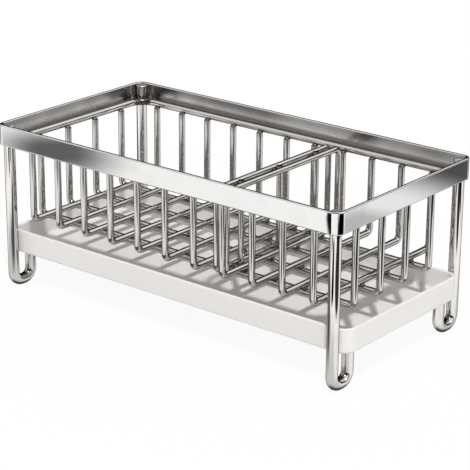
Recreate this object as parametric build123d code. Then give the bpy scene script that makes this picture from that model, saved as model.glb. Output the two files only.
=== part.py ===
from build123d import *
import os
from math import sqrt

# A wire sink caddy: a flat rim band round four bent rod legs, a wire basket
# hung inside the band, a lift-out divider and a slide-out drip tray.
# Millimetres, +Z up. The origin is on the ground under the middle of the frame.
# X runs along the length, and the front is at -Y.

# Overall frame
frame_length = 228.6
frame_width = 117.4
frame_height = 94.6
weld_gap = 0.03            # what is left between two welded pieces
overrun = 5.0              # how far cutting shapes run past what they cut

# Rim band, bent from flat bar round the legs
band_height = 11.8
band_thickness = 1.8
band_edge_round = 0.7

# Legs, each one rod that turns up again under the tray
leg_diameter = 6.1
leg_top_drop = 0.8         # leg end below the top of the band
leg_end_round = 0.5
foot_spacing = 13.0        # leg axis to stub axis
foot_bend_radius = 5.6     # at the rod's axis
foot_flat_depth = 0.25     # worn flat under each foot

# Basket ring, inside the band
ring_diameter = 4.0
ring_leg_inset = 0.8       # ring axis inside the leg axis, both ways
ring_rise = 2.3            # ring axis above the band's lower edge

# Basket wires
wire_diameter = 3.6
wire_bend_radius = 2.8     # at the wire's axis
wire_ring_inset = 2.0      # wall wire axis inside the ring axis
cross_wire_count = 11
long_wire_count = 4
cross_wire_end_inset = 4.2   # first cross wire past the ring's corner bend
long_wire_end_inset = 10.5   # first long wire past the ring's corner bend

# Drip tray
tray_lift = 19.4           # underside above the ground
tray_height = 13.2
tray_wall = 1.8
tray_floor = 1.8
tray_corner_radius = 7.0
tray_end_overhang = 1.2    # past the band at each end
tray_side_gap = 0.6        # to the legs
tray_seat_gap = 0.2        # to the foot stubs
tray_bottom_round = 1.5
tray_rim_round = 0.7
tray_basket_gap = 4.0      # tray rim to the lowest basket wire

# Divider, standing inside the basket beside one cross wire
divider_rod_diameter = 3.2
divider_bend_radius = 3.4
divider_rise = 1.0         # top rods above the ring axis
divider_clearance = 0.3    # to the basket wires all round
divider_wire_number = 8    # counted from the left
upright_count = 3
upright_top_drop = 0.4     # upright ends below the top of the rods
bow_foot_gap = 0.6         # bow ends above the cross wire they stand over

# Places worked out from the sizes above
leg_radius = leg_diameter / 2
ring_radius = ring_diameter / 2
wire_radius = wire_diameter / 2
rod_radius = divider_rod_diameter / 2

band_inner_radius = leg_radius + weld_gap
band_corner_radius = band_inner_radius + band_thickness
leg_x = frame_length / 2 - band_corner_radius
leg_y = frame_width / 2 - band_corner_radius

ring_x = leg_x - ring_leg_inset
ring_y = leg_y - ring_leg_inset
ring_z = frame_height - band_height + ring_rise
# The ring's corner bends just touch the legs from inside.
ring_reach = ring_radius + leg_radius + weld_gap
ring_slack = ring_reach - 2 * ring_leg_inset
ring_bend_radius = ring_slack + sqrt(ring_slack**2 + ring_reach**2 - 2 * ring_leg_inset**2)

tray_top = tray_lift + tray_height
tray_length = frame_length + 2 * tray_end_overhang
tray_width = 2 * (leg_y - leg_radius - tray_side_gap)

long_wire_z = tray_top + tray_basket_gap + wire_radius
cross_wire_z = long_wire_z + wire_diameter + weld_gap
wall_x = ring_x - wire_ring_inset
wall_y = ring_y - wire_ring_inset
# Wall wires end where they meet the underside of the ring.
wire_edge_offset = max(wire_ring_inset - wire_radius, 0)
wire_top = ring_z - sqrt(ring_radius**2 - wire_edge_offset**2) - weld_gap
cross_wire_reach = ring_x - ring_bend_radius - cross_wire_end_inset
long_wire_reach = ring_y - ring_bend_radius - long_wire_end_inset

divider_y = wall_y - wire_radius - rod_radius - divider_clearance
divider_top = ring_z + divider_rise
divider_bottom = long_wire_z + wire_radius + rod_radius + divider_clearance
bow_foot = cross_wire_z + wire_radius + bow_foot_gap
upright_top = divider_top + rod_radius - upright_top_drop
upright_bottom = divider_bottom - rod_radius


def spread(reach, count):
    """Evenly spaced places from -reach to reach."""
    return [reach * (2 * i / (count - 1) - 1) for i in range(count)]


def bent_rod(corners, bend_radius, diameter, closed=False):
    """A round rod whose axis runs through the corners, each one bent."""
    axis = FilletPolyline(*corners, radius=bend_radius, close=closed)
    section = Plane(origin=axis @ 0, z_dir=axis % 0) * Circle(diameter / 2)
    return sweep(section, path=axis)


def straight_rod(x, y, bottom, top, diameter):
    section = Pos(x, y, bottom) * Circle(diameter / 2)
    return extrude(section, top - bottom)


def rim_band():
    outline = RectangleRounded(frame_length, frame_width, band_corner_radius)
    opening = RectangleRounded(
        frame_length - 2 * band_thickness,
        frame_width - 2 * band_thickness,
        band_inner_radius,
    )
    band = extrude(Pos(0, 0, frame_height - band_height) * (outline - opening), band_height)
    rims = band.faces().filter_by(Axis.Z).edges()
    return fillet(rims, band_edge_round)


def basket_ring():
    corners = [(ring_x, ring_y), (-ring_x, ring_y), (-ring_x, -ring_y), (ring_x, -ring_y)]
    return bent_rod([(x, y, ring_z) for x, y in corners], ring_bend_radius, ring_diameter, True)


def leg(side_x, side_y):
    """One corner leg. The sides are -1 or 1 for left or right, front or rear."""
    x = side_x * leg_x
    y = side_y * leg_y
    stub_y = side_y * (leg_y - foot_spacing)
    axis_bottom = leg_radius - foot_flat_depth
    corners = [
        (x, y, frame_height - leg_top_drop),
        (x, y, axis_bottom),
        (x, stub_y, axis_bottom),
        (x, stub_y, tray_lift - tray_seat_gap),
    ]
    rod = bent_rod(corners, foot_bend_radius, leg_diameter)
    rod_ends = rod.faces().filter_by(GeomType.PLANE).edges()
    rod = fillet(rod_ends, leg_end_round)
    below_ground = Pos(x, side_y * (leg_y - foot_spacing / 2), -overrun / 2) * Box(
        leg_diameter + overrun,
        foot_spacing + leg_diameter + overrun,
        overrun,
    )
    return rod - below_ground


def cross_wire(x):
    """A U of wire across the width, from the front wall to the rear wall."""
    corners = [
        (x, -wall_y, wire_top),
        (x, -wall_y, cross_wire_z),
        (x, wall_y, cross_wire_z),
        (x, wall_y, wire_top),
    ]
    return bent_rod(corners, wire_bend_radius, wire_diameter)


def long_wire(y):
    """A U of wire along the length, under the cross wires and up both ends."""
    corners = [
        (-wall_x, y, wire_top),
        (-wall_x, y, long_wire_z),
        (wall_x, y, long_wire_z),
        (wall_x, y, wire_top),
    ]
    return bent_rod(corners, wire_bend_radius, wire_diameter)


def divider_loop(x):
    """The closed wire frame of the divider."""
    corners = [
        (x, -divider_y, divider_bottom),
        (x, divider_y, divider_bottom),
        (x, divider_y, divider_top),
        (x, -divider_y, divider_top),
    ]
    return bent_rod(corners, divider_bend_radius, divider_rod_diameter, True)


def divider_bow(x):
    """The open wire bow of the divider, over its cross wire."""
    corners = [
        (x, -divider_y, bow_foot),
        (x, -divider_y, divider_top),
        (x, divider_y, divider_top),
        (x, divider_y, bow_foot),
    ]
    return bent_rod(corners, divider_bend_radius, divider_rod_diameter)


def drip_tray():
    outline = RectangleRounded(tray_length, tray_width, tray_corner_radius)
    shell = extrude(Pos(0, 0, tray_lift) * outline, tray_height)
    shell = fillet(shell.faces().sort_by(Axis.Z)[0].edges(), tray_bottom_round)
    inside = RectangleRounded(
        tray_length - 2 * tray_wall,
        tray_width - 2 * tray_wall,
        tray_corner_radius - tray_wall,
    )
    hollow = extrude(Pos(0, 0, tray_lift + tray_floor) * inside, tray_height + overrun)
    hollow = fillet(hollow.faces().sort_by(Axis.Z)[0].edges(), tray_bottom_round)
    shell = shell - hollow
    return fillet(shell.faces().sort_by(Axis.Z)[-1].edges(), tray_rim_round)


pieces = {"rim_band": rim_band(), "basket_ring": basket_ring()}

for depth_name, side_y in (("front", -1), ("rear", 1)):
    for side_name, side_x in (("left", -1), ("right", 1)):
        pieces[f"leg_{depth_name}_{side_name}"] = leg(side_x, side_y)

cross_places = spread(cross_wire_reach, cross_wire_count)
for number, x in enumerate(cross_places, start=1):
    pieces[f"cross_wire_{number:02d}"] = cross_wire(x)

for number, y in enumerate(spread(long_wire_reach, long_wire_count), start=1):
    pieces[f"long_wire_{number}"] = long_wire(y)

# The bow stands over its cross wire, the uprights are left of it, then the loop.
bow_x = cross_places[divider_wire_number - 1] - divider_clearance
upright_x = bow_x - divider_rod_diameter - weld_gap
loop_x = upright_x - divider_rod_diameter - weld_gap
pieces["divider_loop"] = divider_loop(loop_x)
pieces["divider_bow"] = divider_bow(bow_x)
upright_reach = 2 * divider_y / upright_count
for number, y in enumerate(spread(upright_reach, upright_count), start=1):
    upright = straight_rod(upright_x, y, upright_bottom, upright_top, divider_rod_diameter)
    pieces[f"divider_upright_{number}"] = upright

pieces["drip_tray"] = drip_tray()

os.makedirs("parts", exist_ok=True)
for name, piece in pieces.items():
    export_step(piece, f"parts/{name}.step")
    print(f"{name}: {piece.volume:.1f} mm3")
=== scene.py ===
import math
import bpy
import numpy as np
from mathutils import Matrix, Vector


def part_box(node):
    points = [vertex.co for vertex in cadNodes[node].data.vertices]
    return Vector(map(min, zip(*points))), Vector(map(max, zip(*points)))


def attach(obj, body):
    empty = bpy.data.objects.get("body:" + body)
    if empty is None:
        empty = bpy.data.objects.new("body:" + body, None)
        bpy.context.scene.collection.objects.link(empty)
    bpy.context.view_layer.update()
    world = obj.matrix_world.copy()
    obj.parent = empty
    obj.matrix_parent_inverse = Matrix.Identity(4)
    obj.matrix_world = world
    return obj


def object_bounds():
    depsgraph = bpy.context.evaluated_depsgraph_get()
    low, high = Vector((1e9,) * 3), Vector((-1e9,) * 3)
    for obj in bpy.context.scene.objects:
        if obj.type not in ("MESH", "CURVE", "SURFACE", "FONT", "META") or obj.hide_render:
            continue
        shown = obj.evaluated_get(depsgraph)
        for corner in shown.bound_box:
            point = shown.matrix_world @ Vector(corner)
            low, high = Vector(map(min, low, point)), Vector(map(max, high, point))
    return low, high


# Kitchen sink caddy: polished wire basket in a flat rim band on four bent legs,
# with a lift-out divider and a pale drip tray. Metres; the front is at -Y.
# The CAD nodes keep their shapes and get their finishes here. The weld beads are new pieces.

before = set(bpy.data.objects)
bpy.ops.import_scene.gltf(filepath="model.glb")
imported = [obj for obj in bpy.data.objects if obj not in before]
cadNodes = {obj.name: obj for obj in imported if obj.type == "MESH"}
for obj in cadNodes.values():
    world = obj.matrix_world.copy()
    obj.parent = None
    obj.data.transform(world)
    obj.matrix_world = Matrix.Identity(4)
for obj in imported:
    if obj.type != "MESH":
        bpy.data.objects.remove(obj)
bpy.context.view_layer.update()
cadBox = [list(corner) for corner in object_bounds()]
print("frame loaded:", len(cadNodes), "nodes")


class Num:
    # A number socket. Sums, products and powers of it add their own Math nodes.
    def __init__(self, shading, socket):
        self.shading = shading
        self.socket = socket

    def __add__(self, other):
        return self.shading.maths("ADD", self, other)

    def __radd__(self, other):
        return self.shading.maths("ADD", other, self)

    def __sub__(self, other):
        return self.shading.maths("SUBTRACT", self, other)

    def __rsub__(self, other):
        return self.shading.maths("SUBTRACT", other, self)

    def __mul__(self, other):
        return self.shading.maths("MULTIPLY", self, other)

    def __rmul__(self, other):
        return self.shading.maths("MULTIPLY", other, self)

    def __truediv__(self, other):
        return self.shading.maths("DIVIDE", self, other)

    def __rtruediv__(self, other):
        return self.shading.maths("DIVIDE", other, self)

    def __pow__(self, other):
        return self.shading.maths("POWER", self, other)

    def __rpow__(self, other):
        return self.shading.maths("POWER", other, self)

    def __abs__(self):
        return self.shading.maths("ABSOLUTE", self)


class Shading:
    # The node tree of one material or world, and short ways to fill it.
    def __init__(self, owner):
        owner.use_nodes = True
        self.owner = owner
        self.nodes = owner.node_tree.nodes
        self.links = owner.node_tree.links

    def feed(self, socket, value):
        # links a socket to another, or sets its own value
        if isinstance(value, Num):
            value = value.socket
        if isinstance(value, bpy.types.NodeSocket):
            self.links.new(value, socket)
        elif isinstance(value, (tuple, list)) and socket.type == "RGBA":
            socket.default_value = (*value[:3], 1.0)
        else:
            socket.default_value = value

    def node(self, kind, settings, sockets):
        made = self.nodes.new(kind)
        for key, value in settings.items():
            setattr(made, key, value)
        for key, value in sockets.items():
            self.feed(made.inputs[key], value)
        return made

    def maths(self, operation, first, second=0.0):
        made = self.node("ShaderNodeMath", {"operation": operation}, {0: first, 1: second})
        return Num(self, made.outputs[0])

    def length(self, *sides):
        # of a line whose steps along the axes are the sides
        squares = [side * side for side in sides]
        return sum(squares[1:], squares[0]) ** 0.5

    def mixed(self, factor, first, second):
        # a colour between two colours, which are sockets 6 and 7 of the node
        settings = {"data_type": "RGBA", "clamp_factor": True}
        made = self.node("ShaderNodeMix", settings, {0: factor, 6: first, 7: second})
        return made.outputs[2]

    def place(self):
        return self.node("ShaderNodeTexCoord", {}, {}).outputs["Object"]

    def stretched(self, place, scale):
        return self.node("ShaderNodeMapping", {}, {"Vector": place, "Scale": scale}).outputs[0]

    def noise(self, place, scale, detail=2.0, gain=0.5):
        sockets = {"Vector": place, "Scale": scale, "Detail": detail, "Roughness": gain}
        return Num(self, self.node("ShaderNodeTexNoise", {}, sockets).outputs[0])

    def ramp(self, value, low, high):
        # 0 below low, 1 above high, smooth between them
        sockets = {"Value": value, "From Min": low, "From Max": high}
        settings = {"interpolation_type": "SMOOTHSTEP"}
        return Num(self, self.node("ShaderNodeMapRange", settings, sockets).outputs[0])

    def parts(self, vector):
        made = self.node("ShaderNodeSeparateXYZ", {}, {0: vector})
        return [Num(self, made.outputs[i]) for i in range(3)]

    def bump(self, height):
        # the height is in metres
        sockets = {"Height": height, "Strength": 1.0, "Distance": 1.0}
        return self.node("ShaderNodeBump", {}, sockets).outputs[0]


def newFinish(name):
    shading = Shading(bpy.data.materials.new(name))
    return shading, shading.nodes["Principled BSDF"]


def dress(material, *names):
    # gives the material to CAD nodes; their meshes stay as they are
    for name in names:
        for place in cadNodes[name].material_slots:
            place.material = material


def middle(name):
    low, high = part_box(name)
    return (low + high) / 2


def shifted(pair, start):
    return [start + number for number in pair]


# the numbered pieces, as the CAD names them
crossNames = [f"cross_wire_{n:02d}" for n in range(1, 12)]
longNames = [f"long_wire_{n}" for n in range(1, 5)]
legNames = [f"leg_{depth}_{side}" for depth in ("front", "rear") for side in ("left", "right")]
uprightNames = [f"divider_upright_{n}" for n in range(1, 4)]


# Polished steel
polishedSteel = {
    "color": (0.645, 0.627, 0.610),
    "smearColor": (0.585, 0.568, 0.553),
    "speckColor": (0.460, 0.447, 0.435),
    # darker at the weld joints, and painted shade where the wires meet the ring
    "weldAndShadeColor": (0.30, 0.29, 0.29),
    "paintedEdgeShade": (0.05, 0.048, 0.046),   # how much is reflected at a glancing view; set low, it gives the rods painted dark outlines
    "smearShare": 0.6,
    "speckShare": 0.35,
    "weldAndShadeDark": 0.75,
    "roughness": 0.03,
    "smearRough": 0.035,                 # this and the next two are added to the roughness
    "lineRough": 0.02,
    "weldRough": 0.16,
    "cloudScale": 90.0,
    "smearRange": (0.42, 0.72),          # noise at which a smear starts and is full
    "speckScale": 2600.0,
    "speckRange": (0.70, 0.80),
    "lineScale": 900.0,
    "lineStretch": (1.0, 1.0, 0.05),
    "lineHeight": 0.0000004,
    "waveScale": 160.0,
    "waveHeight": 0.000012,
}

bandLow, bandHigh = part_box("rim_band")
bandSteel = dict(polishedSteel)
bandSteel.update({
    "color": (0.635, 0.630, 0.624),
    "smearColor": (0.575, 0.570, 0.564),
    "roughness": 0.018,
    "smearRough": 0.012,
    "lineRough": 0.008,
    "cloudScale": 55.0,
    "lineScale": 1400.0,
    "lineStretch": (0.04, 0.04, 1.0),
    "waveScale": 60.0,
    "waveHeight": 0.00002,
    # its inner face: rougher than the rest, with a painted darker reflection and painted shade as
    # its colour
    "paintedInsideDark": (0.280, 0.269, 0.259),
    "paintedInsidePale": (0.425, 0.410, 0.397),
    "dullRough": 0.20,
    "dullDepth": 0.0012,                 # from the outer face, where the dull finish begins
    "patchScale": 30.0,
    "patchStretch": (1.0, 1.0, 0.5),
    "patchRange": (0.35, 0.65),
    "paintedDipShade": (0.170, 0.163, 0.157),   # painted shade: a darker stretch, left of the middle
    "dipAt": -0.040,
    "dipReach": (0.012, 0.062),
    "paintedLowPale": (0.78, 0.757, 0.735),     # painted reflection: paler towards the lower edge
    "paintedLowFade": (bandLow.z + 0.0015, bandHigh.z - 0.0015),   # heights, 1.5 mm inside both edges
})

legSteel = dict(polishedSteel)
legSteel.update({
    # painted shade inside the foot's bend
    "weldAndShadeColor": (0.07, 0.068, 0.065),
    "weldAndShadeDark": 0.95,
    "weldRough": 0.20,
    "sawnRough": 0.45,
})

wireSteel = dict(polishedSteel)
wireSteel.update({
    "color": (0.533, 0.518, 0.503),
    "smearColor": (0.472, 0.458, 0.445),
    "roughness": 0.045,
    "waveScale": 220.0,
    "cloudScale": 130.0,
})

ringSteel = dict(wireSteel)
# painted shade where the ring bends round a leg, near black
ringSteel.update({"weldAndShadeColor": (0.07, 0.066, 0.063), "weldAndShadeDark": 0.90})

# Where the steel is marked, and where it has painted shade. A mask changes from the first number of
# a pair to the second.
# The rear right leg gives the places for all four, which mirror it.
marks = {
    "crossing": (0.0014, 0.0042),   # away from the point where two wires touch
    "ring": (-0.004, 0.0005),       # above the ring's underside
    "corner": (0.0052, 0.0078),     # away from a leg's surface
    "footHeight": 0.0086,           # of the point inside the foot's bend
    "foot": (0.0028, 0.0044),       # away from that point
    "legEnd": (-0.0003, -0.0001),   # above a leg's top
    "bandInside": (-0.0004, 0.0),   # outwards of dullDepth
    "bandTop": (-0.0008, -0.0004),  # above the band's top
}


def crossingMask(shading, place):
    # nearness to the closest crossing of a cross wire and a long wire
    first, last = middle(crossNames[0]), middle(crossNames[-1])
    front, rear = middle(longNames[0]), middle(longNames[-1])
    pitchX = (last.x - first.x) / (len(crossNames) - 1)
    pitchY = (rear.y - front.y) / (len(longNames) - 1)
    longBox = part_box(longNames[0])
    weldZ = (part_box(crossNames[0])[0].z + longBox[0].z + longBox[1].y - longBox[0].y) / 2
    x, y, z = shading.parts(place)
    # the fraction of these steps is one half on a wire
    stepsX = (x - first.x) / pitchX + 0.5
    stepsY = (y - front.y) / pitchY + 0.5
    awayX = (shading.maths("FRACT", stepsX) - 0.5) * pitchX
    awayY = (shading.maths("FRACT", stepsY) - 0.5) * pitchY
    return 1.0 - shading.ramp(shading.length(awayX, awayY, z - weldZ), *marks["crossing"])


def ringMask(shading, place):
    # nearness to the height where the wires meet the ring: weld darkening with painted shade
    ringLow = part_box("basket_ring")[0].z
    return shading.ramp(shading.parts(place)[2], *shifted(marks["ring"], ringLow))


def wireMask(shading, place):
    return shading.maths("MAXIMUM", crossingMask(shading, place), ringMask(shading, place))


def cornerShadeMask(shading, place):
    # nearness to the closest leg, where the ring is given painted shade
    low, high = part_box(legNames[-1])
    radius = (high.x - low.x) / 2
    x, y, _ = shading.parts(place)
    away = shading.length(abs(x) - (high.x - radius), abs(y) - (high.y - radius))
    return 1.0 - shading.ramp(away, *shifted(marks["corner"], radius))


def footShadeMask(shading, place):
    # nearness to the inside of the foot's bend, which is given painted shade
    low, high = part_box(legNames[-1])
    _, y, z = shading.parts(place)
    away = shading.length(abs(y) - (high.y + low.y) / 2, z - marks["footHeight"])
    return 1.0 - shading.ramp(away, *marks["foot"])


def legEndMask(shading, place):
    # 1 on the sawn top of a leg
    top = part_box(legNames[-1])[1].z
    return shading.ramp(shading.parts(place)[2], *shifted(marks["legEnd"], top))


def insideMask(shading, place):
    # 1 on the band's inner faces, from dullDepth inwards, and 0 along its top
    x, y, z = shading.parts(place)
    beyondX = abs(x) - (bandHigh.x - bandSteel["dullDepth"])
    beyondY = abs(y) - (bandHigh.y - bandSteel["dullDepth"])
    beyond = shading.maths("MAXIMUM", beyondX, beyondY)
    belowTop = 1.0 - shading.ramp(z, *shifted(marks["bandTop"], bandHigh.z))
    return (1.0 - shading.ramp(beyond, *marks["bandInside"])) * belowTop


def paintedInsideColor(shading, place, settings):
    # painted reflection and painted shade: soft patches, a darker stretch about dipAt, and paler
    # towards the lower edge
    stretched = shading.stretched(place, settings["patchStretch"])
    patches = shading.noise(stretched, settings["patchScale"])
    patches = shading.ramp(patches, *settings["patchRange"])
    color = shading.mixed(patches, settings["paintedInsideDark"], settings["paintedInsidePale"])
    x, _, z = shading.parts(place)
    dip = 1.0 - shading.ramp(abs(x - settings["dipAt"]), *settings["dipReach"])
    color = shading.mixed(dip, color, settings["paintedDipShade"])
    lowness = 1.0 - shading.ramp(z, *settings["paintedLowFade"])
    return shading.mixed(lowness, color, settings["paintedLowPale"])


def steelFinish(name, settings, weldAndShadeMask=None, dullAndPaintedMask=None, sawnMask=None):
    # Mirror-bright metal: cloudy wiping marks, specks, fine lines of the last polish and
    # a faint wave of the surface. Where the first mask is near 1 the metal is darker: at weld
    # joints, and as painted shade where the wires meet the ring, where the ring bends round
    # a leg and inside a foot's bend. Where the second is near 1 the finish is duller and its
    # colour a painted darker reflection, and where sawnMask is near 1 there is a rough cut.
    shading, shader = newFinish(name)
    place = shading.place()
    clouds = shading.noise(place, settings["cloudScale"], detail=3.0, gain=0.55)
    smears = shading.ramp(clouds, *settings["smearRange"])
    specks = shading.noise(place, settings["speckScale"], detail=1.0)
    specks = shading.ramp(specks, *settings["speckRange"])
    lines = shading.noise(shading.stretched(place, settings["lineStretch"]), settings["lineScale"])
    smeared = smears * settings["smearShare"]
    color = shading.mixed(smeared, settings["color"], settings["smearColor"])
    color = shading.mixed(specks * settings["speckShare"], color, settings["speckColor"])
    rough = settings["roughness"] + smears * settings["smearRough"] + lines * settings["lineRough"]
    # darker weld joints, and painted shade at the ring, at the legs' corners and inside the feet
    if weldAndShadeMask is not None:
        mark = weldAndShadeMask(shading, place)
        color = shading.mixed(mark * settings["weldAndShadeDark"], color, settings["weldAndShadeColor"])
        rough = rough + mark * settings["weldRough"]
    # the band's inner face gets a rougher finish and a painted reflection as its colour
    if dullAndPaintedMask is not None:
        dullAndPainted = dullAndPaintedMask(shading, place)
        color = shading.mixed(dullAndPainted, color, paintedInsideColor(shading, place, settings))
        rough = rough + dullAndPainted * settings["dullRough"]
    if sawnMask is not None:
        rough = rough + sawnMask(shading, place) * settings["sawnRough"]
    wave = shading.noise(place, settings["waveScale"], detail=1.0)
    height = wave * settings["waveHeight"] + lines * settings["lineHeight"]
    shading.feed(shader.inputs["Base Color"], color)
    shading.feed(shader.inputs["Roughness"], rough)
    shading.feed(shader.inputs["Normal"], shading.bump(height))
    shader.inputs["Metallic"].default_value = 1.0
    shader.inputs["Specular Tint"].default_value = (*settings["paintedEdgeShade"], 1.0)
    return shading.owner


dress(steelFinish("band_polished", bandSteel, dullAndPaintedMask=insideMask), "rim_band")
dress(steelFinish("leg_polished", legSteel, footShadeMask, sawnMask=legEndMask), *legNames)
dress(steelFinish("ring_polished", ringSteel, cornerShadeMask), "basket_ring")
dress(steelFinish("wire_polished", wireSteel, wireMask), *crossNames, *longNames)
dress(steelFinish("divider_polished", wireSteel), "divider_loop", "divider_bow", *uprightNames)
print("steel finished")


# Drip tray
trayPlastic = {
    "color": (0.85, 0.832, 0.810),
    "shade": (0.78, 0.77, 0.75),
    "markScale": 140.0,
    "markRange": (0.5, 0.8),      # noise at which the mottling starts and is full
    "markShare": 0.35,
    "roughness": 0.34,
    "grainRough": 0.12,
    "grainScale": 2200.0,
    "grainHeight": 0.000006,
    "flowScale": 30.0,
    "flowHeight": 0.00006,
}


def trayFinish(settings):
    # Moulded plastic: a slow waviness of the walls, a fine satin grain and faint mottling.
    shading, shader = newFinish("tray_plastic_satin")
    place = shading.place()
    grain = shading.noise(place, settings["grainScale"], detail=3.0, gain=0.6)
    flow = shading.noise(place, settings["flowScale"])
    mottling = shading.noise(place, settings["markScale"], detail=4.0, gain=0.6)
    share = shading.ramp(mottling, *settings["markRange"]) * settings["markShare"]
    color = shading.mixed(share, settings["color"], settings["shade"])
    height = grain * settings["grainHeight"] + flow * settings["flowHeight"]
    shading.feed(shader.inputs["Base Color"], color)
    shading.feed(shader.inputs["Roughness"], settings["roughness"] + grain * settings["grainRough"])
    shading.feed(shader.inputs["Normal"], shading.bump(height))
    return shading.owner


dress(trayFinish(trayPlastic), "drip_tray")
print("tray finished")


# Weld beads
beadShape = {"rings": 8, "around": 14, "lump": 0.09, "turn": 1.7}   # turn from bead to bead
beadRadii = {
    "floor": (0.0023, 0.0023, 0.0012),
    "floorSlim": (0.0016, 0.0023, 0.0012),   # beside the divider, so that it lifts out freely
    "ring": (0.00172, 0.00172, 0.0012),
    "corner": (0.0014, 0.0014, 0.0017),
    "divider": (0.0008, 0.0014, 0.0013),
}
ringBeadOut = 0.0003   # from the wires' axis, outwards
weldMetal = dict(polishedSteel)
weldMetal.update({
    "color": (0.15, 0.145, 0.14),
    "smearColor": (0.08, 0.077, 0.074),
    "roughness": 0.32,
    "waveScale": 900.0,
    "waveHeight": 0.00003,
})
weldMaterial = steelFinish("weld_bead", weldMetal)


def beads(name, centres, radii, body):
    # Flattened balls on a grid of turn u and height v:
    # centre + (rx lumpy cos v cos u, ry lumpy cos v sin u, rz sin v),
    # where lumpy is 1 + lump sin(3 u + turn) cos(2 v + turn).
    # Each bead's last two points are its lower and upper pole.
    centres = np.asarray(centres, float)
    radii = np.broadcast_to(np.asarray(radii, float), centres.shape)
    rings, around = beadShape["rings"], beadShape["around"]
    v = np.linspace(-np.pi / 2, np.pi / 2, rings + 1)[1:-1]
    u = np.linspace(0, 2 * np.pi, around, endpoint=False)
    turn = np.arange(len(centres))[:, None, None] * beadShape["turn"]
    v, u = v[None, :, None], u[None, None, :]
    lumpy = 1 + beadShape["lump"] * np.sin(3 * u + turn) * np.cos(2 * v + turn)
    shape = np.stack([
        np.cos(v) * np.cos(u) * lumpy,
        np.cos(v) * np.sin(u) * lumpy,
        np.sin(v) * np.ones_like(u + turn),
    ], axis=-1)
    walls = centres[:, None, None, :] + shape * radii[:, None, None, :]
    poles = centres[:, None, :] + np.array([[0, 0, -1.0], [0, 0, 1.0]]) * radii[:, None, :]
    points = np.concatenate([walls.reshape(len(centres), -1, 3), poles], axis=1)
    perBead = points.shape[1]
    row = np.arange(around)
    after = (row + 1) % around
    low = (np.arange(rings - 2) * around)[:, None]
    quads = np.stack([low + row, low + after, low + around + after, low + around + row], axis=-1)
    top = (rings - 2) * around
    bottomCaps = np.stack([after, row, np.full(around, perBead - 2)], axis=-1)
    topCaps = np.stack([top + row, top + after, np.full(around, perBead - 1)], axis=-1)
    starts = np.arange(len(centres))[:, None, None] * perBead
    faces = (quads.reshape(1, -1, 4) + starts).reshape(-1, 4).tolist()
    for caps in (bottomCaps, topCaps):
        faces += (caps[None] + starts).reshape(-1, 3).tolist()
    mesh = bpy.data.meshes.new(name)
    mesh.from_pydata(points.reshape(-1, 3).tolist(), [], faces)
    mesh.polygons.foreach_set("use_smooth", [True] * len(mesh.polygons))
    mesh.materials.append(weldMaterial)
    piece = bpy.data.objects.new(name, mesh)
    bpy.context.scene.collection.objects.link(piece)
    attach(piece, body)


# where the long wires run under the cross wires
wireRadius = (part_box(longNames[0])[1].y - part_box(longNames[0])[0].y) / 2
crossXs = [middle(name).x for name in crossNames]
longYs = [middle(name).y for name in longNames]
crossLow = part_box(crossNames[0])[0]
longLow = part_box(longNames[0])[0]
crossingZ = (crossLow.z + longLow.z + 2 * wireRadius) / 2
loopX, bowX = middle("divider_loop").x, middle("divider_bow").x
floorSpots = [(x, y, crossingZ) for x in crossXs for y in longYs]
floorKinds = ["floorSlim" if abs(spot[0] - bowX) < wireRadius else "floor" for spot in floorSpots]
floorRadii = [beadRadii[kind] for kind in floorKinds]
beads("floor_welds", floorSpots, floorRadii, "frame")

# where the wires reach the ring
wallX = -longLow.x - wireRadius
wallY = -crossLow.y - wireRadius
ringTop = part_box(crossNames[0])[1].z
ringSpots = [(x, side * (wallY + ringBeadOut), ringTop) for x in crossXs for side in (-1, 1)]
ringSpots += [(side * (wallX + ringBeadOut), y, ringTop) for y in longYs for side in (-1, 1)]
beads("ring_welds", ringSpots, beadRadii["ring"], "frame")

# where the ring's bends touch the legs
legRadius = (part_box(legNames[0])[1].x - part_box(legNames[0])[0].x) / 2
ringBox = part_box("basket_ring")
ringZ = (ringBox[0].z + ringBox[1].z) / 2
cornerSpots = []
for name in legNames:
    low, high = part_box(name)
    legX = (low.x + high.x) / 2
    legY = low.y + legRadius if low.y < 0 else high.y - legRadius
    inward = Vector((-math.copysign(legRadius, legX), -math.copysign(legRadius, legY)))
    inward = inward / math.sqrt(2)
    cornerSpots.append((legX + inward.x, legY + inward.y, ringZ))
beads("corner_welds", cornerSpots, beadRadii["corner"], "frame")

# where the uprights stand between the divider's rods
rodRadius = (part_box("divider_bow")[1].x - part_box("divider_bow")[0].x) / 2
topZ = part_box("divider_bow")[1].z - rodRadius
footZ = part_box("divider_loop")[0].z + rodRadius
uprightSpots = []
for name in uprightNames:
    spot = middle(name)
    leftX, rightX = (spot.x + loopX) / 2, (spot.x + bowX) / 2
    uprightSpots += [(leftX, spot.y, topZ), (rightX, spot.y, topZ), (leftX, spot.y, footZ)]
beads("divider_welds", uprightSpots, beadRadii["divider"], "divider")
print("welds made")


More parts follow.
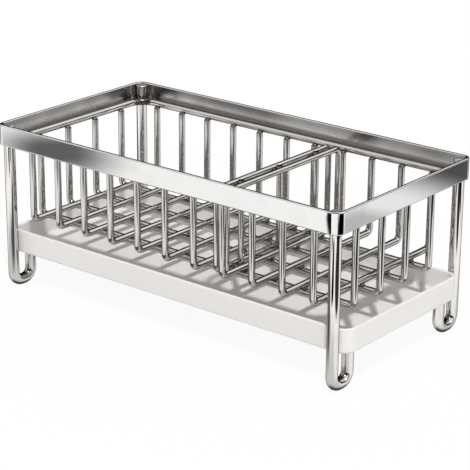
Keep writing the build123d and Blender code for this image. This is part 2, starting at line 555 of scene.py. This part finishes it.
# Studio
# Reflections show a white sheet on the floor, with dark cards on it, and soft boxes above.
# They are seen only there; everything else gets an even light and one lamp.
studio = {
    "skyLevel": 0.50,               # the even light
    "floorColor": 0.86,
    "floorHalf": 6.0,
    "floorDrop": 0.00005,           # below the feet
    "shadowShare": 0.07,            # how much of the lit floor the camera sees beside the caddy
    "shadowReach": 0.28,
    "sheetLevel": 1.40,
    "nearLevel": 0.62,              # share of it in front of the caddy and behind it
    "sideLevel": 0.90,              # and beside its ends
    "sideFade": (0.005, 0.035),     # how much further out past an end than past a side
    "nearFade": (0.03, 0.12),       # this and the next two fades are metres past the caddy's box
    # painted shade: the sheet is darker under the caddy, as in its shadow
    "underLevel": 0.12,
    "underFade": (-0.034, -0.018),
    "farDark": 0.60,
    "farFrom": (0.55, 1.30),
    "cardPower": 4.0,               # of the superellipse that a card's outline is
    "cardEdge": 1.1,                # where its soft edge ends, as a share of its half sizes
    "gloomLevel": 0.06,             # between the soft boxes
    "boxSoftness": 0.06,
}
# the painted contact shadow on the sheet under each foot; its fade is in shares of its half sizes
footLow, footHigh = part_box(legNames[-1])
contactShadow = {
    "x": (footLow.x + footHigh.x) / 2,
    "y": (footLow.y + footHigh.y) / 2,
    "halfX": 0.0055,
    "halfY": 0.0125,
    "fade": (0.55, 1.15),
    "dark": 0.88,
}
# dark cards: middle x, y, half width, half depth, turn in degrees, darkness,
# and the share of the half sizes within which it is fully dark
darkCards = [
    (-0.268, -0.258, 0.055, 0.072, -45, 0.87, 0.20),
    (-0.0042, -0.2752, 0.0328, 0.045, -38.84, 1.00, 1.05),
    (0.120, -0.2235, 0.050, 0.0525, 0, 1.00, 0.90),
    (-0.005, -0.112, 0.105, 0.052, 0, 0.88, 0.60),
    (-0.115, -0.150, 0.085, 0.045, -35, 0.30, 0.30),
    (0.290, -0.074, 0.082, 0.106, 0, 0.97, 0.85),
    (0.390, -0.030, 0.062, 0.125, 0, 1.00, 0.85),
    (0.317, -0.189, 0.024, 0.020, -33, 0.97, 1.00),
    (0.326, 0.066, 0.024, 0.042, 29, 0.97, 1.00),
    (0.258, 0.297, 0.075, 0.080, 0, 0.90, 0.20),
    (0.247, 0.155, 0.030, 0.036, 0, 0.40, 0.30),
    (-0.300, 0.060, 0.150, 0.130, 0, 0.95, 0.60),
    (0.000, 0.260, 0.200, 0.170, 0, 0.25, 0.60),
]
# soft boxes: azimuth and its half width, lowest and highest elevation in degrees, level
softBoxes = [
    (100, 32, 12, 62, 1.10),
    (-62, 34, 8, 58, 1.00),
    (152, 40, 20, 58, 1.25),
    (0, 180, 62, 90, 1.25),
]


def cardLight(shading, x, y):
    # what the dark cards leave of the sheet's light
    light = 1.0
    for cardX, cardY, halfX, halfY, turn, dark, core in darkCards:
        c, s = math.cos(math.radians(turn)), math.sin(math.radians(turn))
        across = ((x - cardX) * c + (y - cardY) * s) / halfX
        along = ((y - cardY) * c - (x - cardX) * s) / halfY
        power = studio["cardPower"]
        away = (across ** power + along ** power) ** (1 / power)
        light = light * (1.0 - (1.0 - shading.ramp(away, core, studio["cardEdge"])) * dark)
    return light


def floorFinish():
    # The camera sees white, less a little near the caddy, where the lit floor shows its shadow.
    # Reflections see the sheet, with painted shade under the caddy and a painted contact shadow
    # under each foot, and all other rays the plain floor.
    shading = Shading(bpy.data.materials.new("studio_floor"))
    shading.nodes.remove(shading.nodes["Principled BSDF"])
    x, y, _ = shading.parts(shading.place())
    light = cardLight(shading, x, y)
    outX, outY = abs(x) - cadBox[1][0], abs(y) - cadBox[1][1]
    out = shading.maths("MAXIMUM", outX, outY)
    pastX, pastY = (shading.maths("MAXIMUM", side, 0.0) for side in (outX, outY))
    beyond = shading.length(pastX, pastY)
    under = studio["underLevel"]
    sideways = shading.ramp(outX - outY, *studio["sideFade"])
    near = studio["nearLevel"] + (studio["sideLevel"] - studio["nearLevel"]) * sideways
    close = under + (near - under) * shading.ramp(out, *studio["underFade"])
    light = light * (close + (1 - near) * shading.ramp(beyond, *studio["nearFade"]))
    light = light * (1.0 - studio["farDark"] * shading.ramp(beyond, *studio["farFrom"]))
    footX = (abs(x) - contactShadow["x"]) / contactShadow["halfX"]
    footY = (abs(y) - contactShadow["y"]) / contactShadow["halfY"]
    clear = shading.ramp(shading.length(footX, footY), *contactShadow["fade"])
    light = light * (1.0 - contactShadow["dark"] * (1.0 - clear)) * studio["sheetLevel"]
    white = (1, 1, 1)
    path = shading.node("ShaderNodeLightPath", {}, {})
    plain = shading.node("ShaderNodeBsdfDiffuse", {}, {"Color": (studio["floorColor"],) * 3})
    bright = shading.node("ShaderNodeEmission", {}, {"Color": white, "Strength": 1.0})
    sheet = shading.node("ShaderNodeEmission", {}, {"Color": white, "Strength": light})
    fade = 1.0 - studio["shadowShare"] * (1.0 - shading.ramp(beyond, 0.0, studio["shadowReach"]))
    lift = Num(shading, path.outputs["Is Camera Ray"]) * fade
    sockets = {0: lift, 1: plain.outputs[0], 2: bright.outputs[0]}
    seen = shading.node("ShaderNodeMixShader", {}, sockets)
    sockets = {0: path.outputs["Is Glossy Ray"], 1: seen.outputs[0], 2: sheet.outputs[0]}
    mixed = shading.node("ShaderNodeMixShader", {}, sockets)
    shading.feed(shading.nodes["Material Output"].inputs[0], mixed.outputs[0])
    return shading.owner


def skyFinish(world):
    # The camera sees white, reflections the soft boxes, and all other rays an even sky.
    sky = Shading(world)
    path = sky.node("ShaderNodeLightPath", {}, {})
    x, y, z = sky.parts(sky.node("ShaderNodeTexCoord", {}, {}).outputs["Generated"])
    flat = sky.length(x, y, 0.01)   # never quite 0, as it is divided by
    soft = studio["boxSoftness"]
    light = studio["gloomLevel"]
    for azimuth, halfWidth, lowest, highest, level in softBoxes:
        a = math.radians(azimuth)
        facing = (x * math.sin(a) - y * math.cos(a)) / flat
        edge = math.cos(math.radians(halfWidth))
        sides = sky.ramp(facing, edge - soft, edge + soft) if halfWidth < 180 else 1.0
        low, high = math.sin(math.radians(lowest)), math.sin(math.radians(highest))
        rise = sky.ramp(z, low - soft, low + soft)
        if highest < 90:
            rise = rise * (1.0 - sky.ramp(z, high - soft, high + soft))
        light = rise * sides * level + light
    camRay = Num(sky, path.outputs["Is Camera Ray"])
    glossRay = Num(sky, path.outputs["Is Glossy Ray"])
    other = 1.0 - camRay - glossRay
    background = sky.nodes["Background"]
    background.inputs["Color"].default_value = (1, 1, 1, 1)
    strength = camRay + glossRay * light + other * studio["skyLevel"]
    sky.feed(background.inputs["Strength"], strength)


half = studio["floorHalf"]
floorMesh = bpy.data.meshes.new("floor")
floorMesh.from_pydata(
    [(-half, -half, 0), (half, -half, 0), (half, half, 0), (-half, half, 0)], [], [(0, 1, 2, 3)]
)
floorMesh.transform(Matrix.Translation((0, 0, -studio["floorDrop"])))
floorMesh.materials.append(floorFinish())
floor = bpy.data.objects.new("floor", floorMesh)
bpy.context.scene.collection.objects.link(floor)

bpy.context.scene.world = bpy.data.worlds.new("studio")
skyFinish(bpy.context.scene.world)

# one soft lamp, high at the front right
keyLamp = {"place": (1.155, -1.155, 2.550), "aim": (0, 0, 0.03), "side": 0.165, "watts": 58.0}
data = bpy.data.lights.new("key", "AREA")
data.shape = "RECTANGLE"
data.size, data.size_y, data.energy = keyLamp["side"], keyLamp["side"], keyLamp["watts"]
lamp = bpy.data.objects.new("key", data)
lamp.location = keyLamp["place"]
lamp.rotation_mode = "QUATERNION"
toAim = Vector(keyLamp["aim"]) - Vector(keyLamp["place"])
lamp.rotation_quaternion = toAim.to_track_quat("-Z", "Y")
bpy.context.scene.collection.objects.link(lamp)
lamp.visible_camera = False
print("studio made")


# Camera at the photograph's angle
view = {
    "azimuth": 38.84,
    "elevation": 20.02,
    "roll": 0.477,
    "distance": 0.960,
    "target": (0.00506, 0.0, 0.0422),
    "lens": 137.39,
    "sensor": 36.0,
    "clip": (0.01, 50.0),
}
azimuth, elevation, roll = (math.radians(view[k]) for k in ("azimuth", "elevation", "roll"))
back = Vector((
    math.sin(azimuth) * math.cos(elevation),
    -math.cos(azimuth) * math.cos(elevation),
    math.sin(elevation),
))
right = Vector((math.cos(azimuth), math.sin(azimuth), 0))
up = back.cross(right)
rolledRight = right * math.cos(roll) + up * math.sin(roll)
rolledUp = up * math.cos(roll) - right * math.sin(roll)
lens = bpy.data.cameras.new("camera")
lens.lens, lens.sensor_width = view["lens"], view["sensor"]
lens.clip_start, lens.clip_end = view["clip"]
camera = bpy.data.objects.new("camera", lens)
turned = Matrix((rolledRight, rolledUp, back)).transposed().to_4x4()
camera.matrix_world = Matrix.Translation(Vector(view["target"]) + back * view["distance"]) @ turned
bpy.context.scene.collection.objects.link(camera)
bpy.context.scene.camera = camera
bpy.context.scene.view_settings.view_transform = "Standard"

bpy.context.view_layer.update()
